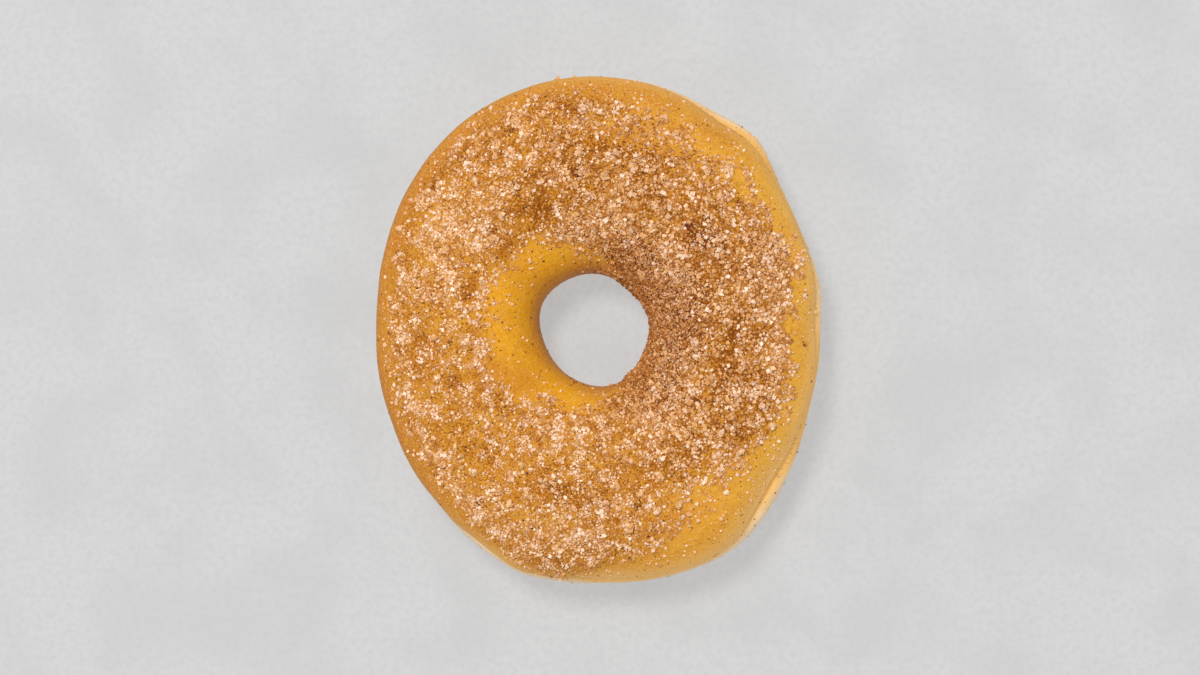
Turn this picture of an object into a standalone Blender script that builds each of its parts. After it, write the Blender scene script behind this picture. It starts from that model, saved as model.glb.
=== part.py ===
"""A ring doughnut of raised dough, fried golden brown and rolled in cinnamon sugar.

Metres, +Z up. It lies on the flat ring of its underside, at z = 0, with its longer way along Y.
The sugar that has caked into lumps is fused to the crust.
"""

import math

import bmesh
import bpy
import numpy as np
from mathutils import Euler, Matrix, Vector

MM = 0.001

# The outline from above is a slightly squared oval that leans a little to one side.
HALF_WIDTH = 41.75 * MM
HALF_LENGTH = 48.0 * MM
SQUARENESS = 2.11
LEAN = 5.0
# Direction in degrees from +X, half width in degrees, how far the side stands out.
OUTLINE_SWELLS = (
    (51.0, 8.0, 1.6 * MM),
    (11.0, 8.0, 0.85 * MM),
    (97.0, 7.0, 0.25 * MM),
    (190.0, 12.0, 0.45 * MM),
    (228.0, 8.0, -0.5 * MM),
    (252.0, 5.0, 0.45 * MM),
    (271.0, 9.0, -0.55 * MM),
    (303.0, 12.0, 1.1 * MM),
    (338.0, 13.0, -0.8 * MM),
    (33.0, 9.0, -0.4 * MM),
)

# The hole sits a little to the left of the middle and is drawn out towards the upper left.
HOLE_RADIUS = 10.35 * MM
HOLE_CENTRE = (-0.75 * MM, 0.4 * MM)
# Direction in degrees, how many times round, how far the wall moves.
HOLE_WAVES = ((129.0, 2, 0.46 * MM), (30.0, 3, 0.2 * MM), (2.0, 4, 0.1 * MM), (8.0, 5, 0.13 * MM))

# Heights of one cut through the ring, from the board up.
HEIGHT = 30.6 * MM
WAIST_HEIGHT = 14.5 * MM
LOWER_CRUST_EDGE = 11.0 * MM
BELT_MIDDLE = 14.4 * MM
BELT_TOP = 17.2 * MM
FOLD_HEIGHT = 18.6 * MM
CRUST_EDGE = 19.4 * MM

# How full each curve of the cut is: 2 is a quarter of an oval, more is squarer.
TOP_FULLNESS = 2.1
WAIST_FULLNESS = 2.0
UNDERSIDE_FULLNESS = 2.1

# The pale belt shows from above where the upper crust stops short of it.
CRUST_SETBACK = 0.45 * MM
BELT_SHOWS = (
    (55.0, 12.0, 1.5 * MM),
    (5.0, 10.0, 1.0 * MM),
    (-43.0, 14.0, 2.4 * MM),
    (-86.0, 18.0, 0.7 * MM),
    (-119.0, 7.0, 0.8 * MM),
)
FOLD_DEPTH = 0.2 * MM
LOWER_CRUST_SETBACK = 0.7 * MM

# The flat ring that it rests on, as shares of the way from the hole to the outside.
FLAT_INNER = 0.35
FLAT_OUTER = 0.66

# The dome rises and sinks a little round the ring.
DOME_WAVES = ((135.0, 1, 0.35 * MM), (-100.0, 2, 0.3 * MM), (20.0, 3, 0.25 * MM))
# Direction in degrees, share of the way out, half width, rise: shallow hollows and one soft ridge.
DOME_DENTS = (
    (117.0, 0.42, 5.0 * MM, -0.7 * MM),
    (-15.0, 0.45, 6.0 * MM, -0.6 * MM),
    (-138.0, 0.62, 5.5 * MM, -0.6 * MM),
    (-57.0, 0.66, 6.0 * MM, -0.5 * MM),
    (74.0, 0.66, 5.0 * MM, -0.4 * MM),
    (-118.0, 0.8, 3.5 * MM, 0.5 * MM),
    (-96.0, 0.55, 5.0 * MM, 0.3 * MM),
    (142.0, 0.55, 6.0 * MM, 0.3 * MM),
)

# Angles that each curve of the cut is drawn at, in degrees.
TOP_OUTER_STEPS = (0.0, 9.0, 20.0, 32.0, 44.0, 56.0, 68.0, 79.0)
TOP_INNER_STEPS = (90.0, 77.0, 64.0, 51.0, 38.0, 25.0, 12.0)
UNDER_INNER_STEPS = (0.0, 18.0, 36.0, 54.0, 72.0)
UNDER_OUTER_STEPS = (72.0, 54.0, 36.0, 18.0, 0.0)
CUTS_ROUND = 80

# Lumps of caked sugar.
LUMP_COUNT = 140
LUMP_TRIES = 9000
LUMP_LARGEST = 2.0 * MM
LUMP_SMALLEST = 1.2 * MM
LUMP_SPACING = 3.4 * MM
LUMP_SUNK = 0.22
LUMP_SEED = 41

# Where the sugar stops short of the hole: widest about this direction, gone on the far side.
BARE_SLOPE_DIRECTION = 170.0
# Direction in degrees, half width in degrees, how much further in the sugar stops at the outside.
BARE_SHOULDERS = ((-55.0, 17.0, 0.24), (5.0, 9.0, 0.15), (56.0, 15.0, 0.1))
# Direction in degrees, share of the way out, half widths of each, share of the sugar that is missing.
THIN_PATCHES = (
    (-137.0, 0.65, 13.0, 0.11, 0.8),
    (-15.0, 0.45, 16.0, 0.1, 0.7),
    (117.0, 0.4, 12.0, 0.11, 0.9),
    (-58.0, 0.66, 13.0, 0.16, 0.7),
    (75.0, 0.68, 15.0, 0.07, 0.6),
    (160.0, 0.37, 11.0, 0.08, 0.6),
)


def bell(distance, half_width):
    """1 at no distance, easing to nothing past about twice the half width."""
    return np.exp(-((distance / half_width) ** 2))


def turn_between(direction, other):
    """Degrees from one direction to the other the short way, -180 to 180."""
    return (direction - other + 180.0) % 360.0 - 180.0


def ease(low, high, value):
    """0 below low, 1 above high, smooth between."""
    share = np.clip((value - low) / (high - low), 0.0, 1.0)
    return share * share * (3.0 - 2.0 * share)


def summed_swells(swells, direction):
    return sum(reach * bell(turn_between(direction, at), wide) for at, wide, reach in swells)


def summed_waves(waves, direction):
    return sum(reach * math.cos(times * math.radians(direction - at)) for at, times, reach in waves)


def outline_radius(direction):
    """From the middle of the doughnut to its outside."""
    lean = math.radians(direction - LEAN)
    across = abs(math.cos(lean) / HALF_WIDTH) ** SQUARENESS
    along = abs(math.sin(lean) / HALF_LENGTH) ** SQUARENESS
    return (across + along) ** (-1.0 / SQUARENESS) + summed_swells(OUTLINE_SWELLS, direction)


def hole_radius(direction):
    return HOLE_RADIUS + summed_waves(HOLE_WAVES, direction)


def quarter(angle, fullness):
    """A quarter turn as two shares: along the flat axis, then along the upright one."""
    turned = math.radians(angle)
    flat = max(math.cos(turned), 0.0) ** (2.0 / fullness)
    upright = max(math.sin(turned), 0.0) ** (2.0 / fullness)
    return flat, upright


def ring_cut(direction):
    """One cut through the ring as (share of the way out, height), from the crust's edge over the top."""
    wide = outline_radius(direction) - hole_radius(direction)
    crust = 1.0 - (CRUST_SETBACK + summed_swells(BELT_SHOWS, direction)) / wide
    under = 1.0 - LOWER_CRUST_SETBACK / wide
    top = HEIGHT + summed_waves(DOME_WAVES, direction)
    cut = []
    for angle in TOP_OUTER_STEPS:
        flat, upright = quarter(angle, TOP_FULLNESS)
        cut.append((0.5 + (crust - 0.5) * flat, CRUST_EDGE + (top - CRUST_EDGE) * upright))
    for angle in TOP_INNER_STEPS:
        flat, upright = quarter(angle, WAIST_FULLNESS)
        cut.append((0.5 - 0.5 * flat, WAIST_HEIGHT + (top - WAIST_HEIGHT) * upright))
    for angle in UNDER_INNER_STEPS:
        flat, upright = quarter(angle, UNDERSIDE_FULLNESS)
        cut.append((FLAT_INNER * (1.0 - flat), WAIST_HEIGHT * (1.0 - upright)))
    cut.append((FLAT_INNER, 0.0))
    cut.append((FLAT_OUTER, 0.0))
    for angle in UNDER_OUTER_STEPS:
        flat, upright = quarter(angle, UNDERSIDE_FULLNESS)
        cut.append((FLAT_OUTER + (under - FLAT_OUTER) * flat, LOWER_CRUST_EDGE * (1.0 - upright)))
    cut.append((1.0, BELT_MIDDLE))
    cut.append((0.6 + 0.4 * crust, BELT_TOP))
    cut.append((crust - FOLD_DEPTH / wide, FOLD_HEIGHT))
    return cut


def plan_point(direction, share):
    """A point from above, this share of the way from the hole's wall to the outside."""
    turned = math.radians(direction)
    ray = Vector((math.cos(turned), math.sin(turned)))
    inner = Vector(HOLE_CENTRE) + ray * hole_radius(direction)
    outer = ray * outline_radius(direction)
    return inner.lerp(outer, share)


def dent_rise(plan, height):
    """How far the shallow hollows and ridges move a point of the upper crust."""
    rise = 0.0
    for direction, share, wide, reach in DOME_DENTS:
        rise += reach * bell((plan - plan_point(direction, share)).length, wide)
    return rise * float(ease(CRUST_EDGE, HEIGHT * 0.9, height))


def skin_point(direction, share, height):
    plan = plan_point(direction, share)
    return Vector((plan.x, plan.y, height + dent_rise(plan, height)))


def crust_height(direction, share):
    """Height of the upper crust this share of the way out."""
    over_the_top = ring_cut(direction)[: len(TOP_OUTER_STEPS) + len(TOP_INNER_STEPS) + 1]
    shares = [point[0] for point in reversed(over_the_top)]
    heights = [point[1] for point in reversed(over_the_top)]
    return float(np.interp(share, shares, heights))


def crust_point(direction, share):
    return skin_point(direction, share, crust_height(direction, share))


def sugar_share(direction, share):
    """How much of the crust is under sugar here, 0 to 1."""
    away = abs(turn_between(direction, BARE_SLOPE_DIRECTION))
    starts = 0.33 - 0.2 * float(ease(58.0, 80.0, away)) - 0.09 * float(ease(100.0, 130.0, away))
    stops = 0.93 - summed_swells(BARE_SHOULDERS, direction)
    cover = float(ease(starts - 0.03, starts + 0.06, share) * (1.0 - ease(stops - 0.07, stops + 0.03, share)))
    for at, out, wide, deep, missing in THIN_PATCHES:
        cover *= 1.0 - missing * bell(turn_between(direction, at), wide) * bell(share - out, deep)
    return cover


def ring_mesh():
    """The dough ring as one closed skin."""
    skin = bmesh.new()
    rows = []
    for step in range(CUTS_ROUND):
        direction = 360.0 * step / CUTS_ROUND
        rows.append([skin.verts.new(skin_point(direction, *point)) for point in ring_cut(direction)])
    for step, row in enumerate(rows):
        beside = rows[(step + 1) % CUTS_ROUND]
        for place, vertex in enumerate(row):
            after = (place + 1) % len(row)
            skin.faces.new((vertex, row[after], beside[after], beside[place]))
    bmesh.ops.recalc_face_normals(skin, faces=skin.faces)
    return skin


def lump_places():
    """Spread places for the lumps, thickest where the sugar lies thickest."""
    draw = np.random.default_rng(LUMP_SEED)
    places = []
    for _ in range(LUMP_TRIES):
        direction, share, chance = draw.uniform((-180.0, 0.05, 0.0), (180.0, 0.95, 1.0))
        # Further out the ring is longer round, so a place there is tried as often for its area.
        if chance > sugar_share(direction, share) * (0.35 + 0.65 * share):
            continue
        point = crust_point(direction, share)
        if all((point - other[2]).length > LUMP_SPACING for other in places):
            places.append((direction, share, point))
        if len(places) == LUMP_COUNT:
            break
    return places


def crust_normal(direction, share):
    along = crust_point(direction + 1.0, share) - crust_point(direction - 1.0, share)
    across = crust_point(direction, share + 0.02) - crust_point(direction, share - 0.02)
    return across.cross(along).normalized()


def add_lump(group, number, place, draw):
    """One blunt angular lump, sunk into the crust."""
    direction, share, point = place
    wide = LUMP_SMALLEST + (LUMP_LARGEST - LUMP_SMALLEST) * draw.random() ** 2
    shape = bmesh.new()
    bmesh.ops.create_icosphere(shape, subdivisions=1, radius=0.5)
    for vertex in shape.verts:
        vertex.co *= draw.uniform(0.82, 1.14)
    turned = Euler(draw.uniform(0.0, 2.0 * math.pi, 3)).to_matrix().to_4x4()
    squashed = Matrix.Diagonal((wide, wide * draw.uniform(0.7, 0.95), wide * 0.72, 1.0))
    normal = crust_normal(direction, share)
    laid = normal.to_track_quat("Z", "X").to_matrix().to_4x4()
    placed = Matrix.Translation(point + normal * wide * (0.36 - LUMP_SUNK))
    bmesh.ops.transform(shape, matrix=placed @ laid @ squashed @ turned, verts=shape.verts)
    object_of(f"sugar_lump_{number:03d}", shape, group)


def object_of(name, shape, group):
    mesh = bpy.data.meshes.new(name)
    shape.to_mesh(mesh)
    shape.free()
    made = bpy.data.objects.new(name, mesh)
    group.objects.link(made)
    return made


def crust_material():
    material = bpy.data.materials.new("sugared_crust")
    material.use_nodes = True
    shader = material.node_tree.nodes["Principled BSDF"]
    shader.inputs["Base Color"].default_value = (0.55, 0.27, 0.07, 1.0)
    shader.inputs["Roughness"].default_value = 0.6
    return material


def fuse(body, group):
    """Joins the lumps to the ring, then removes the loose lumps."""
    bpy.context.view_layer.update()
    union = body.modifiers.new("fused_sugar", "BOOLEAN")
    union.operation = "UNION"
    union.operand_type = "COLLECTION"
    union.collection = group
    union.solver = "EXACT"
    bpy.context.view_layer.objects.active = body
    bpy.ops.object.modifier_apply(modifier=union.name)
    for lump in list(group.objects):
        bpy.data.objects.remove(lump)
    bpy.data.collections.remove(group)


def centre_on_origin(body):
    """Puts the middle of the doughnut's box over the origin and its flat ring at z = 0."""
    corners = np.array([vertex.co for vertex in body.data.vertices])
    middle = (corners.min(axis=0) + corners.max(axis=0)) / 2.0
    body.data.transform(Matrix.Translation((-middle[0], -middle[1], 0.0)))


def main():
    for old in list(bpy.data.objects):
        bpy.data.objects.remove(old)
    scene_group = bpy.context.scene.collection
    body = object_of("doughnut", ring_mesh(), scene_group)
    body.data.materials.append(crust_material())
    lumps = bpy.data.collections.new("sugar_lumps")
    scene_group.children.link(lumps)
    draw = np.random.default_rng(LUMP_SEED + 1)
    for number, place in enumerate(lump_places()):
        add_lump(lumps, number, place, draw)
    fuse(body, lumps)
    centre_on_origin(body)


main()
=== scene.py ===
"""A cinnamon sugar ring doughnut, dressed for its photograph.

The dough ring repeats the solid's own form and is covered with a crust, a pale belt, a film of
cinnamon and sugar, and loose crystals at their true size.
"""

import math
from collections import namedtuple

import bpy
import numpy as np
from mathutils import Matrix, Vector, kdtree, noise


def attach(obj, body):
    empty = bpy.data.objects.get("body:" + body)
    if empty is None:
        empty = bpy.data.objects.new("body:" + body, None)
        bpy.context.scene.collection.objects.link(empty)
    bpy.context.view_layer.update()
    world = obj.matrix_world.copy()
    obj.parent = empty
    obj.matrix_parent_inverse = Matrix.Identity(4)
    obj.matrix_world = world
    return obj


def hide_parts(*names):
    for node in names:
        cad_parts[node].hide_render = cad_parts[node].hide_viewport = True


MM = 0.001

# The form of the ring, with the same values as the solid it replaces. A swell is direction,
# half-width and reach. A wave is direction, how many go round the ring, and reach.
HALF_WIDTH = 41.75 * MM
HALF_LENGTH = 48.0 * MM
SQUARENESS = 2.11
LEAN = 5.0
OUTLINE_SWELLS = (
    (51.0, 8.0, 1.6 * MM), (11.0, 8.0, 0.85 * MM), (97.0, 7.0, 0.25 * MM),
    (190.0, 12.0, 0.45 * MM), (228.0, 8.0, -0.5 * MM), (252.0, 5.0, 0.45 * MM),
    (271.0, 9.0, -0.55 * MM), (303.0, 12.0, 1.1 * MM), (338.0, 13.0, -0.8 * MM),
    (33.0, 9.0, -0.4 * MM),
)
HOLE_RADIUS = 10.35 * MM
HOLE_CENTRE = np.array((-0.75 * MM, 0.4 * MM))
HOLE_WAVES = ((129.0, 2, 0.46 * MM), (30.0, 3, 0.2 * MM), (2.0, 4, 0.1 * MM), (8.0, 5, 0.13 * MM))
HEIGHT = 30.6 * MM
WAIST_HEIGHT = 14.5 * MM
LOWER_CRUST_EDGE = 11.0 * MM
BELT_MIDDLE = 14.4 * MM
BELT_TOP = 17.2 * MM
FOLD_HEIGHT = 18.6 * MM
CRUST_EDGE = 19.4 * MM
TOP_FULLNESS = 2.1
WAIST_FULLNESS = 2.0
UNDERSIDE_FULLNESS = 2.1
CRUST_SETBACK = 0.45 * MM
BELT_SHOWS = (
    (55.0, 12.0, 1.5 * MM), (5.0, 10.0, 1.0 * MM), (-43.0, 14.0, 2.4 * MM),
    (-86.0, 18.0, 0.7 * MM), (-119.0, 7.0, 0.8 * MM),
)
FOLD_DEPTH = 0.2 * MM
LOWER_CRUST_SETBACK = 0.7 * MM
FLAT_INNER = 0.35
FLAT_OUTER = 0.66
DOME_WAVES = ((135.0, 1, 0.35 * MM), (-100.0, 2, 0.3 * MM), (20.0, 3, 0.25 * MM))
# Direction, share of the way out, half-width and rise.
DOME_DENTS = (
    (117.0, 0.42, 5.0 * MM, -0.7 * MM), (-15.0, 0.45, 6.0 * MM, -0.6 * MM),
    (-138.0, 0.62, 5.5 * MM, -0.6 * MM), (-57.0, 0.66, 6.0 * MM, -0.5 * MM),
    (74.0, 0.66, 5.0 * MM, -0.4 * MM), (-118.0, 0.8, 3.5 * MM, 0.5 * MM),
    (-96.0, 0.55, 5.0 * MM, 0.3 * MM), (142.0, 0.55, 6.0 * MM, 0.3 * MM),
)
TOP_OUTER_STEPS = (0.0, 9.0, 20.0, 32.0, 44.0, 56.0, 68.0, 79.0)
TOP_INNER_STEPS = (90.0, 77.0, 64.0, 51.0, 38.0, 25.0, 12.0)
UNDER_INNER_STEPS = (0.0, 18.0, 36.0, 54.0, 72.0)
UNDER_OUTER_STEPS = (72.0, 54.0, 36.0, 18.0, 0.0)

# How finely the dressed ring is drawn, and the width of ring that its steps are even on.
CUTS_ROUND = 460
STEPS_ALONG = 212
EVEN_WIDTH = 35.0 * MM
# A step along every cut that lies on the upper crust.
CRUST_STEP = 8

# Lumps of caked sugar stand where the solid has its own.
LUMP_COUNT = 140
LUMP_TRIES = 9000
LUMP_LARGEST = 2.0 * MM
LUMP_SMALLEST = 1.2 * MM
LUMP_SPACING = 3.4 * MM
LUMP_SEED = 41
# The solid draws this many numbers for each lump, the first of them for its size.
LUMP_DRAWS = 17

# Where lumps may stand on the upper crust. A shoulder is direction, half-width and how much
# sooner they stop. A patch is direction, share of the way out, half-widths of both, how much.
BARE_SLOPE_DIRECTION = 170.0
BARE_SHOULDERS = ((-55.0, 17.0, 0.24), (5.0, 9.0, 0.15), (56.0, 15.0, 0.1))
THIN_PATCHES = (
    (-137.0, 0.65, 13.0, 0.11, 0.8), (-15.0, 0.45, 16.0, 0.1, 0.7), (117.0, 0.4, 12.0, 0.11, 0.9),
    (-58.0, 0.66, 13.0, 0.16, 0.7), (75.0, 0.68, 15.0, 0.07, 0.6), (160.0, 0.37, 11.0, 0.08, 0.6),
)

# The share of the way out where the sugar starts and where it stops, by direction.
SUGAR_STARTS = (
    (-180, 0.28), (-160, 0.3), (-135, 0.24), (-115, 0.12), (-90, 0.09), (-68, 0.05), (-50, -0.2),
    (50, -0.2), (66, 0.04), (88, 0.1), (108, 0.16), (140, 0.22),
)
SUGAR_STOPS = (
    (-180, 0.89), (-150, 0.91), (-130, 0.895), (-115, 0.915), (-101, 0.965), (-92, 0.94),
    (-80, 0.88), (-62, 0.77), (-42, 0.77), (-28, 0.87), (-12, 0.89), (3, 0.83), (16, 0.92),
    (32, 0.89), (46, 0.81), (62, 0.81), (78, 0.86), (95, 0.92), (130, 0.915), (155, 0.89),
)
# Sparser and denser patches: direction, share of the way out, half-widths of both, how much.
SPARSE_PATCHES = (
    (-136, 0.67, 15, 0.11, 0.97), (-112, 0.58, 9, 0.05, 0.6), (-101, 0.5, 7, 0.05, 0.7),
    (-112, 0.77, 6, 0.03, 0.4), (-162, 0.48, 8, 0.06, 0.8), (-150, 0.29, 9, 0.06, 0.7),
    (-90, 0.55, 6, 0.05, 0.4), (-66, 0.5, 8, 0.06, 0.8), (-66, 0.7, 15, 0.13, 0.85),
    (-48, 0.52, 12, 0.07, 0.5), (-46, 0.72, 10, 0.07, 0.4), (-30, 0.5, 7, 0.05, 0.7),
    (-5, 0.5, 9, 0.07, 1), (-18, 0.48, 8, 0.06, 0.8), (-6, 0.69, 6, 0.05, 0.6),
    (17, 0.35, 9, 0.09, 0.7), (42, 0.5, 8, 0.06, 0.7), (60, 0.72, 10, 0.06, 0.6),
    (76, 0.68, 13, 0.06, 0.7), (91, 0.61, 10, 0.07, 0.9), (112, 0.7, 7, 0.05, 0.4),
    (116, 0.39, 14, 0.12, 0.96), (138, 0.285, 9, 0.05, 1), (162, 0.385, 10, 0.045, 1),
    (-140, 0.2, 11, 0.08, 0.8), (-175, 0.62, 8, 0.07, 0.3), (149, 0.81, 12, 0.06, 0.7),
)
DENSE_PATCHES = (
    (-138, 0.83, 24, 0.055, 0.65), (-115, 0.82, 14, 0.055, 0.6), (-93, 0.72, 8, 0.1, 0.4),
    (-105, 0.26, 22, 0.09, 0.6), (146, 0.65, 13, 0.11, 1), (138, 0.52, 12, 0.08, 0.8),
    (138, 0.41, 9, 0.05, 0.8), (164, 0.51, 9, 0.06, 1), (168, 0.31, 9, 0.04, 0.8),
    (-170, 0.85, 20, 0.09, 0.3), (25, 0.22, 40, 0.12, 0.5), (95, 0.2, 18, 0.07, 1),
    (-52, 0.2, 14, 0.07, 0.8), (-42, 0.42, 8, 0.06, 0.3), (15, 0.76, 12, 0.08, 1),
    (-8, 0.79, 9, 0.06, 0.9),
)
# Patches with no film of sugar either, with the same five numbers.
BARE_PATCHES = (
    (-62, 0.72, 17, 0.14, 0.8), (78, 0.72, 16, 0.08, 0.7), (45, 0.7, 10, 0.07, 0.4),
    (165, 0.4, 14, 0.08, 0.4), (-136, 0.67, 15, 0.11, 0.15),
)
# How high the pale belt reaches in mm, by direction.
PALE_TOPS = (
    (-150, 15.6), (-130, 17.6), (-118, 18.4), (-110, 18.8), (-100, 18.8), (-91, 16.6), (-80, 16.5),
    (-70, 17), (-60, 17.3), (-50, 17.7), (-40, 16.8), (-31, 15.8), (-20, 15.8), (-10, 16),
    (0, 16.7), (10, 17.6), (20, 16.6), (30, 16), (40, 16), (50, 17.2), (60, 17.2), (70, 17.6),
    (82, 18.8), (95, 16.6), (115, 15.4),
)
# Browner patches of the crust, with the same five numbers.
BROWN_PATCHES = (
    (117, 0.4, 15, 0.14, 0.25), (-5, 0.5, 9, 0.06, 0.6), (-5, 0.3, 9, 0.05, 0.3),
    (-20, 0.5, 10, 0.06, 0.4), (17, 0.35, 9, 0.09, 0.6), (42, 0.5, 9, 0.07, 0.4),
    (-155, 0.5, 10, 0.1, 0.4), (-143, 0.21, 16, 0.1, 0.6), (-163, 0.31, 15, 0.08, 0.6),
    (-106, 0.55, 11, 0.08, 0.5), (-66, 0.46, 9, 0.09, 0.4), (162, 0.39, 9, 0.05, 0.9),
    (138, 0.285, 8, 0.05, 0.7), (82, 0.9, 32, 0.09, 0.3), (58, 0.86, 12, 0.08, 0.15),
    (93, 0.62, 10, 0.08, 0.35), (77, 0.69, 12, 0.06, 0.3), (-138, 0.67, 16, 0.12, 0.2),
    (-172, 0.66, 12, 0.1, 0.25), (-72, 0.75, 16, 0.1, 0.45), (-100, 0.88, 6, 0.05, 0.2),
    (112, 0.7, 8, 0.06, 0.3), (145, 0.86, 14, 0.06, 0.3), (-5, 0.68, 7, 0.05, 0.3),
)
# Clots of cinnamon: direction, share of the way out, half-width in mm.
CINNAMON_CLOTS = (
    (165.6, 0.445, 1.1), (-159, 0.54, 1.3), (-123.6, 0.8, 1), (111.6, 0.79, 0.6), (95, 0.48, 1),
    (135.5, 0.43, 1.2), (138.5, 0.84, 0.5), (45.5, 0.455, 0.8), (80.8, 0.617, 0.6),
    (-4.4, 0.92, 0.4), (-35, 0.4, 0.8), (-75, 0.62, 0.8),
)
# Directions: the side with the most sugar and cinnamon, the side where the crust's edge is
# palest and carries the most painted light, the side where the crust is least brown, and the
# middle of the golden slope.
COVERED_SIDE = 18.0
PAINTED_LIGHT_SIDE = -15.0
LEAST_BROWN_SIDE = 5.0
GOLDEN_SIDE = 185.0
# Where the painted light on the crust's edge and the belt are fainter, and where the hole's wall
# is lit so that its painted shade is least: direction, half-width, how much.
FAINT_PAINTED_LIGHT = ((60.0, 40.0, 0.6),)
FAINT_BELT = ((55.0, 25.0, 0.25),)
LIT_WALL = ((148.0, 32.0, 0.7),)
# The belt is at its palest where it reaches this much higher than where it reaches least.
LEAST_PALE_TOP = 15.4 * MM
PALE_RISE = 1.8 * MM
# The heights between which the crust edge's paler colour and painted light end, on the side
# with the most painted light and elsewhere.
PAINTED_LIGHT_ENDS = (20.5 * MM, 26.5 * MM)
FAINT_PAINTED_LIGHT_ENDS = (16.5 * MM, 19.5 * MM)

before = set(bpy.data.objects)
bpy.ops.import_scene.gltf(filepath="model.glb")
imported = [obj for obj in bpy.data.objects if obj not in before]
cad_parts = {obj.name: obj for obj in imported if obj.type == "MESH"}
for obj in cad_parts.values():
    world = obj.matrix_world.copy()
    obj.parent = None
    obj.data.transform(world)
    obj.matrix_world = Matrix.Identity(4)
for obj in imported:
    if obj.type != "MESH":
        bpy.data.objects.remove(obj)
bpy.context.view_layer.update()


def bell(distance, half_width):
    """1 at no distance, falling off smoothly to nothing."""
    return np.exp(-((distance / half_width) ** 2))


def turn_between(direction, other):
    return (direction - other + 180.0) % 360.0 - 180.0


def unit(value):
    """The value kept between 0 and 1."""
    return np.clip(value, 0.0, 1.0)


def ease(low, high, value):
    """A smooth step from 0 at low to 1 at high."""
    share = unit((value - low) / (high - low))
    return share * share * (3.0 - 2.0 * share)


def summed_swells(swells, direction):
    return sum(reach * bell(turn_between(direction, at), wide) for at, wide, reach in swells)


def summed_waves(waves, direction):
    return sum(reach * np.cos(times * np.radians(direction - at)) for at, times, reach in waves)


def outline_radius(direction):
    lean = np.radians(direction - LEAN)
    across = np.abs(np.cos(lean) / HALF_WIDTH) ** SQUARENESS
    along = np.abs(np.sin(lean) / HALF_LENGTH) ** SQUARENESS
    return (across + along) ** (-1.0 / SQUARENESS) + summed_swells(OUTLINE_SWELLS, direction)


def hole_radius(direction):
    return HOLE_RADIUS + summed_waves(HOLE_WAVES, direction)


def quarter(angle, fullness):
    """How far along and how far up a rounded quarter is at this angle, both 0 to 1."""
    turned = math.radians(angle)
    flat = max(math.cos(turned), 0.0) ** (2.0 / fullness)
    upright = max(math.sin(turned), 0.0) ** (2.0 / fullness)
    return flat, upright


def denser(angles):
    """The same angles with two more in each gap."""
    fine = np.linspace(0.0, len(angles) - 1.0, 3 * len(angles) - 2)
    return np.interp(fine, np.arange(len(angles)), angles)


def ring_cuts(direction, finer=lambda angles: angles):
    """Cuts through the ring in these directions, each a loop of (share of the way out, height)."""
    wide = outline_radius(direction) - hole_radius(direction)
    crust = 1.0 - (CRUST_SETBACK + summed_swells(BELT_SHOWS, direction)) / wide
    under = 1.0 - LOWER_CRUST_SETBACK / wide
    top = HEIGHT + summed_waves(DOME_WAVES, direction)
    level = np.ones_like(direction)
    cut = []
    for angle in finer(TOP_OUTER_STEPS):
        flat, upright = quarter(angle, TOP_FULLNESS)
        cut.append((0.5 + (crust - 0.5) * flat, CRUST_EDGE + (top - CRUST_EDGE) * upright))
    for angle in finer(TOP_INNER_STEPS):
        flat, upright = quarter(angle, WAIST_FULLNESS)
        cut.append((0.5 - 0.5 * flat * level, WAIST_HEIGHT + (top - WAIST_HEIGHT) * upright))
    for angle in finer(UNDER_INNER_STEPS):
        flat, upright = quarter(angle, UNDERSIDE_FULLNESS)
        cut.append((FLAT_INNER * (1.0 - flat) * level, WAIST_HEIGHT * (1.0 - upright) * level))
    for share in finer((FLAT_INNER, FLAT_OUTER)):
        cut.append((share * level, 0.0 * level))
    for angle in finer(UNDER_OUTER_STEPS):
        flat, upright = quarter(angle, UNDERSIDE_FULLNESS)
        out = FLAT_OUTER + (under - FLAT_OUTER) * flat
        cut.append((out, LOWER_CRUST_EDGE * (1.0 - upright) * level))
    cut.append((level, BELT_MIDDLE * level))
    cut.append((0.6 + 0.4 * crust, BELT_TOP * level))
    cut.append((crust - FOLD_DEPTH / wide, FOLD_HEIGHT * level))
    return np.stack([np.stack(point, -1) for point in cut], 1)


def plan_point(direction, share):
    """The place seen from above, this share of the way from the hole to the outline."""
    turned = np.radians(direction)
    ray = np.stack((np.cos(turned), np.sin(turned)), -1)
    inner = HOLE_CENTRE + ray * hole_radius(direction)[..., None]
    outer = ray * outline_radius(direction)[..., None]
    return inner + (outer - inner) * share[..., None]


def dent_rise(plan, height):
    rise = np.zeros(plan.shape[:-1])
    for direction, share, wide, reach in DOME_DENTS:
        middle = plan_point(np.array(direction), np.array(share))
        rise += reach * bell(np.linalg.norm(plan - middle, axis=-1), wide)
    return rise * ease(CRUST_EDGE, HEIGHT * 0.9, height)


def smooth_loops(cuts, count):
    """Each closed loop as a smooth curve through its points, with even steps along it."""
    mean = cuts.mean(0) * (EVEN_WIDTH, 1.0)
    lengths = np.linalg.norm(np.roll(mean, -1, 0) - mean, axis=1)
    reached = np.concatenate(([0.0], np.cumsum(lengths)))
    even = np.linspace(0.0, reached[-1], count, endpoint=False)
    place = np.interp(even, reached, np.arange(len(reached)))
    first = place.astype(int)
    part = (place - first)[None, :, None]
    before, start, end, after = (np.roll(cuts, 1 - k, 1)[:, first] for k in range(4))
    curve = 2.0 * start + (end - before) * part
    curve += (2.0 * before - 5.0 * start + 4.0 * end - after) * part**2
    curve += (3.0 * start - before - 3.0 * end + after) * part**3
    return curve / 2.0


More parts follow.
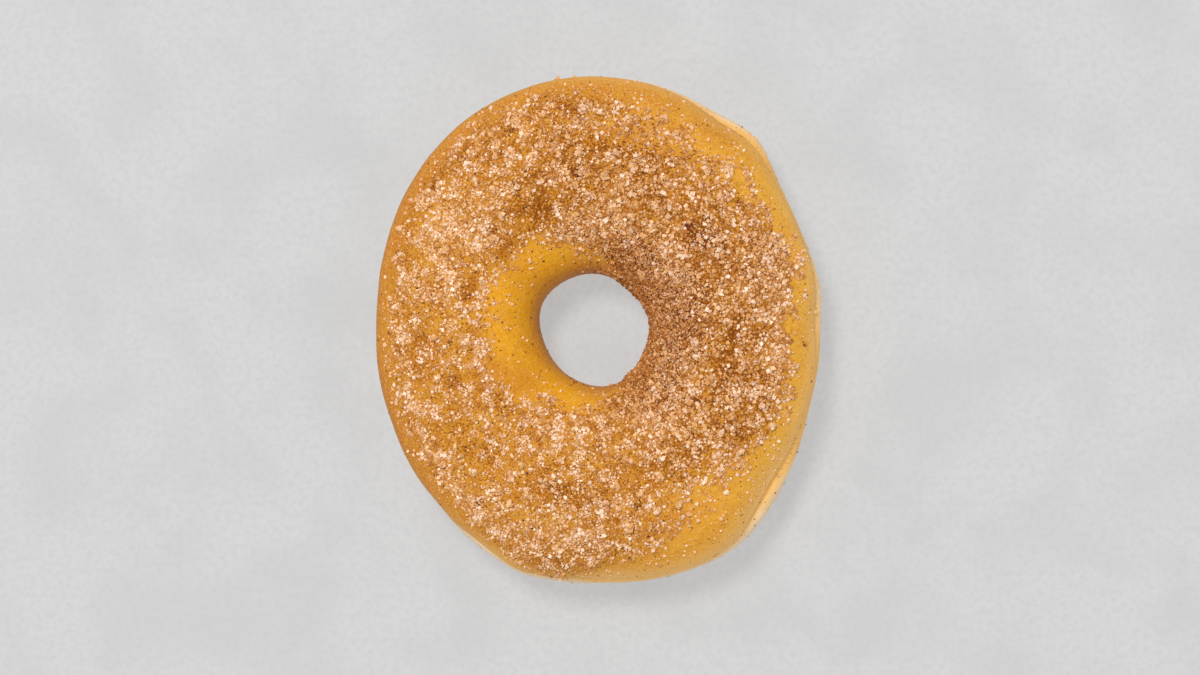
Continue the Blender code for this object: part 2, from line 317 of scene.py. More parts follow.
def lump_chance(direction, share):
    """How likely a lump of caked sugar is here, 0 to 1, by the rule that places the solid's own."""
    away = np.abs(turn_between(direction, BARE_SLOPE_DIRECTION))
    starts = 0.33 - 0.2 * ease(58.0, 80.0, away) - 0.09 * ease(100.0, 130.0, away)
    stops = 0.93 - summed_swells(BARE_SHOULDERS, direction)
    cover = ease(starts - 0.03, starts + 0.06, share)
    cover = cover * (1.0 - ease(stops - 0.07, stops + 0.03, share))
    for at, out, wide, deep, missing in THIN_PATCHES:
        thin = missing * bell(turn_between(direction, at), wide) * bell(share - out, deep)
        cover = cover * (1.0 - thin)
    return cover


def patches(places, direction, share):
    """How much all of these patches come to here."""
    return sum(
        much * bell(turn_between(direction, at), wide) * bell(share - out, deep)
        for at, out, wide, deep, much in places
    )


def by_direction(places, direction):
    """The value for this direction, between those given."""
    at, value = zip(*places)
    return np.interp(direction, at, value, period=360.0)


def sugar_cover(direction, share):
    """How much of the upper crust is under loose sugar here, 0 to 1."""
    starts = by_direction(SUGAR_STARTS, direction)
    stops = by_direction(SUGAR_STOPS, direction)
    begun = ease(starts - 0.05, starts + 0.09, share)
    return begun * (1.0 - ease(stops - 0.09, stops + 0.04, share))


def summed_noise(points, size, octaves=1, shift=0.0):
    """Smooth noise at these points, about -1 to 1, with its coarsest lumps this size in metres."""
    found = np.zeros(len(points))
    for octave in range(octaves):
        at = points * (2**octave / size) + shift * (octave + 1.7)
        drawn = (noise.noise(Vector(place)) for place in at.tolist())
        found += np.fromiter(drawn, float, len(at)) / 2**octave
    return found


class Ring:
    """The dressed ring's points, where each lies on the dough, and what covers it there."""

    def __init__(self):
        cuts = np.arange(CUTS_ROUND) * 360.0 / CUTS_ROUND
        loops = smooth_loops(ring_cuts(cuts, denser), STEPS_ALONG)
        self.share = loops[..., 0]
        self.direction = cuts[:, None] * np.ones_like(self.share)
        height = np.maximum(loops[..., 1], 0.0)
        height[height < 0.02 * MM] = 0.0
        plan = plan_point(self.direction, self.share)
        self.height = height + dent_rise(plan, height)
        outline = plan_point(cuts, np.ones(CUTS_ROUND))
        self.middle = (outline.min(0) + outline.max(0)) / 2.0
        self.points = np.concatenate((plan - self.middle, self.height[..., None]), -1)
        # The steps before this one go from the crust's edge over the top to the hole's waist.
        waist = np.argmax(loops[0, :, 1] - WAIST_HEIGHT < 0.0)
        self.top = (np.arange(STEPS_ALONG) < waist) * np.ones_like(self.share)
        # Most of the fields below lie between 0 and 1.
        self.broad = self.noise_here(9.0 * MM, octaves=2, shift=3.1)
        self.clotted = self.noise_here(3.2 * MM, octaves=2, shift=7.7)
        self.facing = np.cos(np.radians(self.direction - COVERED_SIDE))
        self.outer_side = ease(0.75, 0.86, self.share)
        self.measure_belt()
        self.measure_sugar()
        self.measure_cinnamon()
        self.measure_browning()
        self.roughen()

    def noise_here(self, size, octaves=1, shift=0.0, stretch=1.0):
        points = self.points.reshape(-1, 3) * stretch
        return summed_noise(points, size, octaves, shift).reshape(self.share.shape)

    def measure_belt(self):
        """The pale belt, and the crust's paler edge above it, partly painted light over the
        crease's shade.
        """
        direction, height = self.direction, self.height
        tops = [(at, high * MM) for at, high in PALE_TOPS]
        top = by_direction(tops, direction + 3.0 * self.broad) + 0.3 * MM * self.broad
        shows = unit((top - LEAST_PALE_TOP) / PALE_RISE)
        pale = 1.0 - ease(top - MM, top + MM, height)
        # The crust's edge is painted lighter, most on one side: partly its own paler colour, partly
        # painted light that lifts the shade of the crease under it.
        painted_light_side = ease(-0.75, 0.1, np.cos(np.radians(direction - PAINTED_LIGHT_SIDE)))
        painted_light_side = painted_light_side * (1.0 - summed_swells(FAINT_PAINTED_LIGHT, direction))
        pale_edge_and_painted_light = painted_light_side * (1.0 - ease(*PAINTED_LIGHT_ENDS, height))
        pale_edge_and_painted_light = np.maximum(pale_edge_and_painted_light, 0.45 * (1.0 - ease(*FAINT_PAINTED_LIGHT_ENDS, height)))
        lower_edge = LOWER_CRUST_EDGE - 0.6 * MM + 0.8 * MM * self.broad
        above = ease(lower_edge - 1.6 * MM, lower_edge + 1.4 * MM, height)
        self.belt = above * self.outer_side * pale * (0.4 + 0.5 * shows)
        self.belt *= 1.0 - summed_swells(FAINT_BELT, direction)
        self.pale_edge_and_painted_light = above * self.outer_side * pale_edge_and_painted_light

    def measure_sugar(self):
        """The loose sugar and the film under it, with a thinner scatter on the underside."""
        share, broad, clotted, facing = self.share, self.broad, self.clotted, self.facing
        ragged = (0.07 + 0.05 * unit(facing)) * clotted
        ragged = ragged * (1.0 - 0.6 * ease(0.88, 0.95, share)) + 0.03 * broad
        ragged = ragged * (1.0 - 0.75 * ease(0.76, 0.86, share) * ease(0.0, -0.6, facing))
        place = (self.direction + 5.0 * broad, share + 0.03 * clotted)
        cover = sugar_cover(place[0], share + ragged)
        sparse = 1.0 - patches(SPARSE_PATCHES, *place)
        bare = unit(1.0 - patches(BARE_PATCHES, *place))
        film = sugar_cover(self.direction, share + 0.04 * broad + 0.03 * facing)
        self.dense = patches(DENSE_PATCHES, self.direction, share)
        under = ease(0.06, 0.3, share) * (1.0 - ease(0.72, 0.98, share))
        under = (1.0 - self.top) * 0.4 * under * ease(-0.35, 0.3, broad + 0.5 * clotted)
        off_belt = 1.0 - 0.9 * ease(0.2, 0.9, self.belt)
        self.film = (self.top * film * bare + under) * off_belt
        self.cover = (self.top * cover * sparse * (1.0 + self.dense) + under) * off_belt
        self.clots = self.top * self.near_clots()
        self.cover *= 1.0 - 0.75 * self.clots

    def measure_cinnamon(self):
        """The cinnamon, most on the covered side and most of all on the hole's wall there."""
        share, broad, clotted, facing = self.share, self.broad, self.clotted, self.facing
        near_hole = (1.0 - ease(0.14, 0.4, share)) * self.top * unit(facing + 0.2)
        brown = patches(BROWN_PATCHES, self.direction + 4.0 * broad, share + 0.03 * clotted)
        self.browned = self.top * unit(self.clots + brown)
        coat = 0.33 + 0.15 * facing + 0.42 * near_hole + 0.2 * broad
        coat += 0.35 * self.browned - 0.2 * self.dense * (1.0 - near_hole)
        self.coat = unit(coat + 0.12 * clotted)
        self.packed = unit(0.25 + 0.3 * facing + 0.6 * near_hole + 0.8 * self.dense)
        self.open_side = self.top * ease(0.4, 0.62, share) * unit(0.3 + facing)
        self.near_hole = near_hole

    def measure_browning(self):
        """The golden slope round the hole, where the crust is browner, and painted shade on the
        hole's wall.
        """
        direction, share = self.direction, self.share
        slope = 1.0 - ease(0.2, 0.5, share)
        away = np.abs(turn_between(direction, GOLDEN_SIDE))
        self.gold = self.top * slope * (1.0 - ease(58.0, 105.0, away))
        self.gold *= unit(1.0 - 0.8 * self.browned)
        left = unit(0.5 - 0.62 * np.cos(np.radians(direction - LEAST_BROWN_SIDE)))
        brown = 0.06 + 0.8 * left * ease(0.74, 0.96, share) + 0.12 * self.broad + self.browned
        # The hole's wall is painted darker as shade, least where light falls on it; this painted
        # shade is added to the brown field.
        wall = ease(WAIST_HEIGHT - 9.0 * MM, WAIST_HEIGHT + 2.0 * MM, self.height)
        wall = wall * (1.0 - ease(0.01, 0.1, share))
        unlit = (0.75 - summed_swells(LIT_WALL, direction)) * wall
        brown += unlit + 0.2 * (1.0 - self.top) * (1.0 - self.outer_side)
        self.brown = unit(brown)

    def near_clots(self):
        """1 in the middle of a clot of cinnamon, nothing away from them all."""
        near = np.zeros(self.share.shape)
        for direction, share, wide in CINNAMON_CLOTS:
            middle = plan_point(np.array(direction), np.array(share)) - self.middle
            away = np.linalg.norm(self.points[..., :2] - middle, axis=-1)
            near = np.maximum(near, bell(away, wide * MM))
        return near

    def roughen(self):
        """Low relief: soft crust waves, a caked coat under the sugar, fine creases in the belt."""
        waves = self.noise_here(6.0 * MM, shift=11.0)
        caked = self.noise_here(1.3 * MM, octaves=2, shift=5.0)
        creased = self.noise_here(2.4 * MM, shift=2.0, stretch=(1.0, 1.0, 3.5))
        rise = 0.1 * MM * waves + self.film * 0.09 * MM * caked + 0.06 * MM * creased * self.belt
        # The coat in the hole is packed into the wall, so that the hole keeps its width.
        wall = (1.0 - ease(0.0, 0.05, self.share)) * ease(4.0 * MM, 9.0 * MM, self.height)
        rise -= (0.08 * MM + 0.12 * MM * self.film) * wall
        # Where the belt shows, the crease over it is soft.
        filled = summed_swells(BELT_SHOWS, self.direction) / (2.4 * MM)
        filled = unit(filled * ease(0.8, 0.88, self.share))
        rise += 0.45 * MM * filled * bell(self.height - CRUST_EDGE, 1.4 * MM)
        lifted = rise * (self.height > 0.25 * MM) * ease(0.0, 1.5 * MM, self.height)
        self.points += grid_normals(self.points) * lifted[..., None]
        self.points[..., 2] = np.maximum(self.points[..., 2], 0.0)
        self.normals = grid_normals(self.points)


def grid_normals(points):
    """The way out of the skin at each point."""
    round_way = np.roll(points, -1, 0) - np.roll(points, 1, 0)
    over_way = np.roll(points, -1, 1) - np.roll(points, 1, 1)
    normal = np.cross(over_way, round_way)
    normal /= np.maximum(np.linalg.norm(normal, axis=-1, keepdims=True), 1e-12)
    out = normal[:, CRUST_STEP].mean(0) @ (0.0, 0.0, 1.0)
    return normal if out > 0.0 else -normal


def add_object(name, data):
    made = bpy.data.objects.new(name, data)
    bpy.context.scene.collection.objects.link(made)
    return made


def mesh_object(name, points, faces, places, material, fields):
    """A piece with one map, and with a value at each point for every field."""
    mesh = bpy.data.meshes.new(name)
    mesh.from_pydata(points.tolist(), [], faces.tolist())
    layer = mesh.uv_layers.new(name="OFBake")
    layer.uv.foreach_set("vector", np.asarray(places, np.float32).ravel())
    for field, values in fields.items():
        kept = mesh.attributes.new(field, "FLOAT", "POINT")
        kept.data.foreach_set("value", np.asarray(values, np.float32).ravel())
    mesh.materials.append(material)
    mesh.update()
    made = add_object(name, mesh)
    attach(made, "root")
    return made


def ring_faces():
    """The ring's faces, and their places on a map on which the way round it runs across."""
    step, along = np.meshgrid(np.arange(CUTS_ROUND), np.arange(STEPS_ALONG), indexing="ij")
    faces, places = [], []
    for a, b in ((0, 0), (0, 1), (1, 1), (1, 0)):
        corner = (step + a) % CUTS_ROUND * STEPS_ALONG + (along + b) % STEPS_ALONG
        place = np.stack(((step + a) / CUTS_ROUND, (along + b) / STEPS_ALONG), -1)
        faces.append(corner.reshape(-1))
        places.append(place.reshape(-1, 2))
    return np.stack(faces, 1), np.stack(places, 1) * 0.996 + 0.002


def build_body(ring, material):
    names = ("film", "coat", "belt", "pale_edge_and_painted_light", "brown", "browned", "gold")
    fields = {name: getattr(ring, name) for name in names}
    points, normals = ring.points.reshape(-1, 3), ring.normals.reshape(-1, 3)
    faces, places = ring_faces()
    body = mesh_object("sugared_dough_ring", points, faces, places, material, fields)
    # The faces look outwards, as the normals do.
    a, b, c = (points[faces[:100, k]] for k in range(3))
    if (np.cross(b - a, c - a).mean(0) * normals[faces[:100, 0]].mean(0)).sum() < 0.0:
        body.data.flip_normals()
    body.data.polygons.foreach_set("use_smooth", np.ones(len(faces), bool))
    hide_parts("doughnut")
    return body


# A crystal is a box with uneven corners. Its faces look outwards.
BOX_CORNERS = np.array([(x, y, z) for x in (-0.5, 0.5) for y in (-0.5, 0.5) for z in (-0.5, 0.5)])
BOX_FACES = np.array(
    [(0, 1, 3, 2), (4, 6, 7, 5), (0, 4, 5, 1), (2, 3, 7, 6), (0, 2, 6, 4), (1, 5, 7, 3)]
)
# The least height of a corner, so that none goes through the floor.
LOWEST_CORNER = 0.00002
# How far out a corner lies and how far it is shifted, in parts of the crystal's own size.
CORNER_REACH = (0.72, 1.18)
CORNER_SHIFT = 0.05
# Least and most width, depth and thickness to length, how far tilted and how deep sunk.
Shape = namedtuple("Shape", "least most tilt sunk")
CRYSTAL = Shape((0.75, 0.6, 0.5), (1.0, 0.9, 0.8), tilt=0.45, sunk=0.25)
CAKED_CRYSTAL = Shape(CRYSTAL.least, CRYSTAL.most, tilt=1.2, sunk=0.0)
FLAKE = Shape((0.6, 0.4, 0.2), (1.0, 0.8, 0.4), tilt=0.3, sunk=0.15)


def turns(normals, tilt, draw):
    """A turn for each crystal that lays it on the skin, spun and tilted at random."""
    count = len(normals)
    side = draw.normal(size=(count, 3))
    normal = normals + tilt * draw.normal(size=(count, 3))
    normal /= np.linalg.norm(normal, axis=1, keepdims=True)
    side -= normal * (side * normal).sum(1, keepdims=True)
    side /= np.linalg.norm(side, axis=1, keepdims=True)
    return np.stack((side, np.cross(normal, side), normal), 2)


def crystals(name, spots, normals, sizes, shape, material, fields, seed):
    """One piece of many crystals of one shape, whose fields have a value for each."""
    draw = np.random.default_rng(seed)
    count = len(spots)
    ratio = draw.uniform(shape.least, shape.most, (count, 3))
    corners = BOX_CORNERS[None] * ratio[:, None] * sizes[:, None, None]
    corners = corners * draw.uniform(*CORNER_REACH, (count, 8, 1))
    corners += draw.normal(0.0, CORNER_SHIFT, (count, 8, 3)) * sizes[:, None, None]
    laid = np.einsum("nij,nkj->nki", turns(normals, shape.tilt, draw), corners)
    rise = sizes * ratio[:, 2] * (0.5 - shape.sunk)
    points = (laid + (spots + normals * rise[:, None])[:, None]).reshape(-1, 3)
    points[:, 2] = np.maximum(points[:, 2], LOWEST_CORNER)
    faces = (BOX_FACES[None] + 8 * np.arange(count)[:, None, None]).reshape(-1, 4)
    # Every crystal has a square of its own on the map, because it is one colour all over.
    side = math.ceil(math.sqrt(count))
    cell = np.stack((np.arange(count) % side, np.arange(count) // side), 1) / side
    square = np.array([(0.15, 0.15), (0.85, 0.15), (0.85, 0.85), (0.15, 0.85)]) / side
    places = np.broadcast_to(cell[:, None, None] + square, (count, 6, 4, 2))
    spread = {field: np.repeat(values, 8) for field, values in fields.items()}
    return mesh_object(name, points, faces, places, material, spread)


class Skin:
    """The dressed ring's faces, to scatter things over."""

    def __init__(self, ring):
        faces, _ = ring_faces()
        self.quads = ring.points.reshape(-1, 3)[faces]
        self.normals = ring.normals.reshape(-1, 3)[faces].mean(1)
        a, b, c, d = (self.quads[:, k] for k in range(4))
        one, two = np.cross(b - a, c - a), np.cross(c - a, d - a)
        self.areas = (np.linalg.norm(one, axis=1) + np.linalg.norm(two, axis=1)) / 2.0
        self.middles = self.quads.mean(1)
        fields = "cover film coat belt near_hole open_side packed dense clots share"
        for name in fields.split():
            setattr(self, name, getattr(ring, name).reshape(-1)[faces[:, 0]])
        self.clumps = summed_noise(self.middles, 2.1 * MM, octaves=2, shift=21.0)
        self.drifts = summed_noise(self.middles, 6.5 * MM, shift=33.0)
        # Next to nothing lies on the ring that the doughnut stands on.
        self.off_floor = ease(0.00025, 0.0012, self.middles[:, 2])
        # The sugar is finer on the side away from the covered one.
        direction = np.arctan2(self.middles[:, 1], self.middles[:, 0])
        self.finer = ease(0.4, -0.4, np.cos(direction - math.radians(COVERED_SIDE)))

    def scatter(self, weight, count, draw):
        """Places drawn over the faces, as many in each as its area and weight ask."""
        share = self.areas * np.maximum(weight, 0.0)
        chosen = draw.choice(len(share), count, p=share / share.sum())
        across, along = draw.random((2, count, 1))
        a, b, c, d = (self.quads[chosen, k] for k in range(4))
        near, far = a * (1 - across) + b * across, d * (1 - across) + c * across
        return near * (1 - along) + far * along, chosen


def lump_places():
    """The places of the solid's lumps of caked sugar, by the solid's own rule, and their sizes."""
    low, high = (-180.0, 0.05, 0.0), (180.0, 0.95, 1.0)
    tries = np.random.default_rng(LUMP_SEED).uniform(low, high, (LUMP_TRIES, 3))
    direction, share, chance = tries.T
    tries = tries[chance <= lump_chance(direction, share) * (0.35 + 0.65 * share)]
    over_top = len(TOP_OUTER_STEPS) + len(TOP_INNER_STEPS) + 1
    places = []
    for direction, share, _ in tries:
        over = ring_cuts(np.array([direction]))[0, :over_top]
        height = np.array([np.interp(share, over[::-1, 0], over[::-1, 1])])
        plan = plan_point(np.array([direction]), np.array([share]))
        point = np.append(plan[0], height + dent_rise(plan, height))
        if all(np.linalg.norm(point - other) > LUMP_SPACING for other in places):
            places.append(point)
        if len(places) == LUMP_COUNT:
            break
    drawn = np.random.default_rng(LUMP_SEED + 1).random((LUMP_COUNT, LUMP_DRAWS))[:, 0]
    sizes = LUMP_SMALLEST + (LUMP_LARGEST - LUMP_SMALLEST) * drawn**2
    return np.array(places), sizes[: len(places)]


def tone(red, green, blue):
    """A colour as it reads on a screen, 0 to 255, as the light values that Blender works in."""
    values = np.array((red, green, blue)) / 255.0
    linear = np.where(values <= 0.04045, values / 12.92, ((values + 0.055) / 1.055) ** 2.4)
    return (*linear.tolist(), 1.0)


def feed(tree, node, inputs):
    """Links or sets inputs of a node, by their names or numbers."""
    for socket, value in inputs.items():
        if isinstance(value, bpy.types.NodeSocket):
            tree.links.new(value, node.inputs[socket])
        else:
            node.inputs[socket].default_value = value
    return node


def add_node(tree, kind, inputs=None, **settings):
    made = tree.nodes.new(kind)
    for setting, value in settings.items():
        setattr(made, setting, value)
    return feed(tree, made, inputs or {})


def sums(tree, operation, first, second, third=None, clamp=False):
    values = {0: first, 1: second}
    if third is not None:
        values[2] = third
    return add_node(tree, "ShaderNodeMath", values, operation=operation, use_clamp=clamp).outputs[0]


def scaled(tree, value, factor, plus=0.0):
    return sums(tree, "MULTIPLY_ADD", value, factor, plus)


def remap(tree, value, low, high, to_low=0.0, to_high=1.0):
    values = {"Value": value, "From Min": low, "From Max": high}
    values |= {"To Min": to_low, "To Max": to_high}
    return add_node(tree, "ShaderNodeMapRange", values, interpolation_type="SMOOTHSTEP").outputs[0]


def blend(tree, share, first, second, way="MIX"):
    """A colour between two others."""
    settings = {"data_type": "RGBA", "blend_type": way, "clamp_factor": True}
    values = {0: share, 6: first, 7: second}
    return add_node(tree, "ShaderNodeMix", values, **settings).outputs[2]


def between(tree, share, first, second):
    """A number between two others."""
    values = {0: share, 2: first, 3: second}
    return add_node(tree, "ShaderNodeMix", values, data_type="FLOAT").outputs[0]


def open_group(name, inputs, outputs):
    """An empty shader group: inputs are (name, kind, value), outputs (name, kind)."""
    group = bpy.data.node_groups.new(name, "ShaderNodeTree")
    for label, kind, value in inputs:
        socket = group.interface.new_socket(label, in_out="INPUT", socket_type=f"NodeSocket{kind}")
        socket.default_value = value
    for label, kind in outputs:
        group.interface.new_socket(label, in_out="OUTPUT", socket_type=f"NodeSocket{kind}")
    return group, group.nodes.new("NodeGroupInput"), group.nodes.new("NodeGroupOutput")


def per_millimetre(tree, size):
    """A texture scale that makes its features this many millimetres across."""
    return sums(tree, "DIVIDE", 1000.0, size)


def object_place(tree):
    return tree.nodes.new("ShaderNodeTexCoord").outputs["Object"]


def colour_group(name, second, colour, amounts):
    """An empty group that will lay a second colour over a first."""
    inputs = [("Color", "Color", (0.5, 0.5, 0.5, 1.0)), (second, "Color", colour)]
    inputs += [(label, "Float", value) for label, value in amounts.items()]
    return open_group(name, inputs, (("Color", "Color"), ("Mask", "Float")))


def close_group(group, given, result, second, mask):
    """Puts out the mask, and the first colour with the second over it by the mask."""
    colour = blend(group, mask, given.outputs["Color"], given.outputs[second])
    feed(group, result, {"Mask": mask, "Color": colour})
    return group


def mottle_group():
    """Soft blotches of a second colour."""
    amounts = {"Amount": 0.5, "Size mm": 4.0}
    second = "Blotch Color"
    group, given, result = colour_group("baked_mottle", second, (0.2, 0.1, 0.05, 1.0), amounts)
    scale = per_millimetre(group, given.outputs["Size mm"])
    values = {"Vector": object_place(group), "Scale": scale}
    values |= {"Detail": 3.0, "Roughness": 0.55, "Distortion": 0.3}
    cloud = remap(group, add_node(group, "ShaderNodeTexNoise", values).outputs[0], 0.4, 0.68)
    mask = sums(group, "MULTIPLY", cloud, given.outputs["Amount"], clamp=True)
    return close_group(group, given, result, second, mask)


def dust_group():
    """Powder that clings in fine broken drifts."""
    amounts = {"Amount": 0.5, "Grain mm": 0.35}
    second = "Powder Color"
    powder = (0.2, 0.08, 0.02, 1.0)
    group, given, result = colour_group("clinging_cinnamon", second, powder, amounts)
    place = object_place(group)
    scale = per_millimetre(group, given.outputs["Grain mm"])
    values = {"Vector": place, "Scale": scale, "Detail": 2.0, "Roughness": 0.6}
    fine = add_node(group, "ShaderNodeTexNoise", values).outputs[0]
    values["Scale"], values["Roughness"] = scaled(group, scale, 0.16), 0.5
    drift = add_node(group, "ShaderNodeTexNoise", values).outputs[0]
    both = scaled(group, drift, 0.22, scaled(group, fine, 0.78))
    wanted = scaled(group, given.outputs["Amount"], -0.36, 0.68)
    least = sums(group, "SUBTRACT", wanted, 0.06)
    most = sums(group, "ADD", wanted, 0.06)
    any_here = remap(group, given.outputs["Amount"], 0.0, 0.15)
    mask = scaled(group, remap(group, both, least, most), any_here)
    return close_group(group, given, result, second, mask)


def speck_group():
    """Separate small dark specks, one at most to each cell."""
    amounts = {"Amount": 0.4, "Spacing mm": 1.5, "Speck Share": 0.16}
    second = "Speck Color"
    group, given, result = colour_group("baked_in_specks", second, (0.05, 0.02, 0.01, 1.0), amounts)
    scale = per_millimetre(group, given.outputs["Spacing mm"])
    values = {"Vector": object_place(group), "Scale": scale}
    cells = add_node(group, "ShaderNodeTexVoronoi", values)
    drawn = add_node(group, "ShaderNodeSeparateColor", {"Color": cells.outputs["Color"]})
    size = sums(group, "ADD", drawn.outputs[1], 0.4)
    reach = scaled(group, given.outputs["Speck Share"], size)
    solid = scaled(group, reach, 0.6)
    inside = remap(group, cells.outputs["Distance"], solid, reach, 1.0, 0.0)
    chosen = sums(group, "LESS_THAN", drawn.outputs[0], given.outputs["Amount"])
    mask = scaled(group, inside, chosen)
    return close_group(group, given, result, second, mask)


def relief_group():
    """Height of a fine grainy skin, 0 to 1."""
    group, given, result = open_group(
        "grainy_skin",
        (("Grain mm", "Float", 0.4), ("Broken", "Float", 0.5)),
        (("Height", "Float"),),
    )
    place = object_place(group)
    scale = per_millimetre(group, given.outputs["Grain mm"])
    values = {"Vector": place, "Scale": scale}
    cells = add_node(group, "ShaderNodeTexVoronoi", values, feature="SMOOTH_F1")
    clouds = add_node(group, "ShaderNodeTexNoise", {**values, "Detail": 3.0})
    broken = sums(group, "SUBTRACT", 1.0, cells.outputs["Distance"])
    height = between(group, given.outputs["Broken"], clouds.outputs[0], broken)
    feed(group, result, {"Height": height})
    return group


MOTTLE, DUST, SPECKS, RELIEF = mottle_group(), dust_group(), speck_group(), relief_group()


def use_group(tree, group, values):
    made = tree.nodes.new("ShaderNodeGroup")
    made.node_tree = group
    return feed(tree, made, values).outputs


def mottled(tree, colour, blotch, amount, size):
    """This colour with blotches of another. The size is in mm."""
    values = {"Color": colour, "Blotch Color": blotch, "Amount": amount, "Size mm": size}
    return use_group(tree, MOTTLE, values)["Color"]


def dusted(tree, colour, powder, amount, grain):
    """This colour with powder clinging to it, and where the powder is."""
    values = {"Color": colour, "Powder Color": powder, "Amount": amount, "Grain mm": grain}
    made = use_group(tree, DUST, values)
    return made["Color"], made["Mask"]


def specked(tree, colour, speck, amount, spacing, share):
    """This colour with specks of another, whose share is of the spacing."""
    values = {"Color": colour, "Speck Color": speck, "Amount": amount}
    values |= {"Spacing mm": spacing, "Speck Share": share}
    return use_group(tree, SPECKS, values)["Color"]


def field(tree, name):
    return add_node(tree, "ShaderNodeAttribute", attribute_name=name).outputs["Fac"]


def new_material(name):
    material = bpy.data.materials.new(name)
    material.use_nodes = True
    return material, material.node_tree, material.node_tree.nodes["Principled BSDF"]


GOLDEN_CRUST = tone(220, 162, 54)
BROWN_CRUST = tone(184, 104, 33)
PALE_CRUST = tone(234, 185, 80)
# The crust edge's paler colour, brightened as painted light over the crease's shade.
PALE_EDGE_WITH_PAINTED_LIGHT = tone(255, 197, 110)
BARE_SLOPE = tone(226, 157, 14)
DARK_BLOTCH = tone(190, 116, 30)
PALE_DOUGH = tone(255, 228, 190)
TAN_DOUGH = tone(236, 186, 126)
SUGAR_FILM = tone(185, 128, 42)
CINNAMON_FILM = tone(160, 92, 27)
TOASTED_FILM = tone(164, 96, 22)
CINNAMON_STAIN = tone(176, 98, 26)
LIGHT_POWDER = tone(150, 86, 20)
DARK_POWDER = tone(104, 50, 12)
DARK_SPECK = tone(60, 30, 12)
BROWN_SPECK = tone(140, 80, 20)


def crust_material():
    """Fried crust with its pale belt, under a film of sugar and cinnamon."""
    material, tree, shader = new_material("sugared_crust")
    film, coat, belt = (field(tree, name) for name in ("film", "coat", "belt"))
    # The brown field holds the crust's browning and also painted shade on the hole's wall.
    crust = blend(tree, field(tree, "brown"), GOLDEN_CRUST, BROWN_CRUST)
    crust = blend(tree, scaled(tree, field(tree, "gold"), 0.85), crust, BARE_SLOPE)
    crust = mottled(tree, crust, DARK_BLOTCH, 0.35, 7.0)
    crust = mottled(tree, crust, DARK_BLOTCH, 0.22, 1.1)
    crust = mottled(tree, crust, PALE_CRUST, 0.45, 0.5)
    # The crust's edge painted lighter: partly its own paler colour, partly painted light over the
    # shade of the crease.
    crust = blend(tree, field(tree, "pale_edge_and_painted_light"), crust, PALE_EDGE_WITH_PAINTED_LIGHT)
    crust = blend(tree, belt, crust, mottled(tree, PALE_DOUGH, TAN_DOUGH, 0.45, 3.0))
    patchy = use_group(tree, MOTTLE, {"Amount": 1.0, "Size mm": 1.7})["Mask"]
    patchy = scaled(tree, patchy, 0.45, 0.5)
    filmed = sums(tree, "MULTIPLY", film, patchy, clamp=True)
    crust = blend(tree, filmed, crust, blend(tree, coat, SUGAR_FILM, CINNAMON_FILM))
    crust = blend(tree, scaled(tree, field(tree, "browned"), 0.6), crust, TOASTED_FILM)
    stained = scaled(tree, film, scaled(tree, coat, 0.5, 0.25))
    crust = mottled(tree, crust, CINNAMON_STAIN, stained, 1.3)
    clinging = scaled(tree, film, scaled(tree, coat, 0.7, 0.17))
    clinging = sums(tree, "ADD", clinging, scaled(tree, coat, 0.1))
    powder = blend(tree, remap(tree, coat, 0.2, 0.8), LIGHT_POWDER, DARK_POWDER)
    crust, _ = dusted(tree, crust, powder, clinging, 0.42)
    dark = scaled(tree, film, 0.25, 0.2)
    crust = specked(tree, crust, DARK_SPECK, dark, 1.5, 0.1)
    brown = scaled(tree, belt, -0.2, 0.3)
    crust = specked(tree, crust, BROWN_SPECK, brown, 0.5, 0.28)
    skin = use_group(tree, RELIEF, {"Grain mm": 0.5, "Broken": 0.25})["Height"]
    grains = use_group(tree, RELIEF, {"Grain mm": 0.42, "Broken": 0.8})["Height"]
    height = between(tree, film, scaled(tree, skin, 0.35), grains)
    values = {"Height": height, "Strength": 0.7, "Distance": 0.00022}
    bump = add_node(tree, "ShaderNodeBump", values).outputs[0]
    roughness = remap(tree, film, 0.0, 1.0, 0.55, 0.9)
    values = {"Base Color": crust, "Roughness": roughness, "IOR": 1.2, "Normal": bump}
    feed(tree, shader, values)
    return material


CRYSTAL_TONES = (
    (0.0, tone(174, 106, 38)),
    (0.3, tone(204, 146, 82)),
    (0.6, tone(219, 169, 113)),
    (0.85, tone(231, 190, 148)),
    (1.0, tone(240, 209, 180)),
)
CRYSTAL_COAT = tone(172, 102, 42)
CRYSTAL_POWDER = tone(140, 78, 32)


def crystal_material():
    """Sugar crystals, each in its own tone, with cinnamon clinging to them."""
    material, tree, shader = new_material("sugar_crystal")
    ramp = add_node(tree, "ShaderNodeValToRGB", {"Fac": field(tree, "tint")})
    stops = ramp.color_ramp.elements
    for number, (place, colour) in enumerate(CRYSTAL_TONES):
        stop = stops[number] if number < 2 else stops.new(place)
        stop.position, stop.color = place, colour
    coating = field(tree, "coating")
    coated = blend(tree, scaled(tree, coating, 0.5), ramp.outputs[0], CRYSTAL_COAT)
    clinging = scaled(tree, coating, 0.6)
    colour, powdered = dusted(tree, coated, CRYSTAL_POWDER, clinging, 0.3)
    roughness = remap(tree, powdered, 0.0, 1.0, 0.45, 0.8)
    feed(tree, shader, {"Base Color": colour, "Roughness": roughness, "IOR": 1.35})
    return material


DARK_BARK = tone(62, 28, 10)
LIGHT_BARK = tone(134, 66, 24)
BARK_BLOTCH = tone(40, 18, 8)


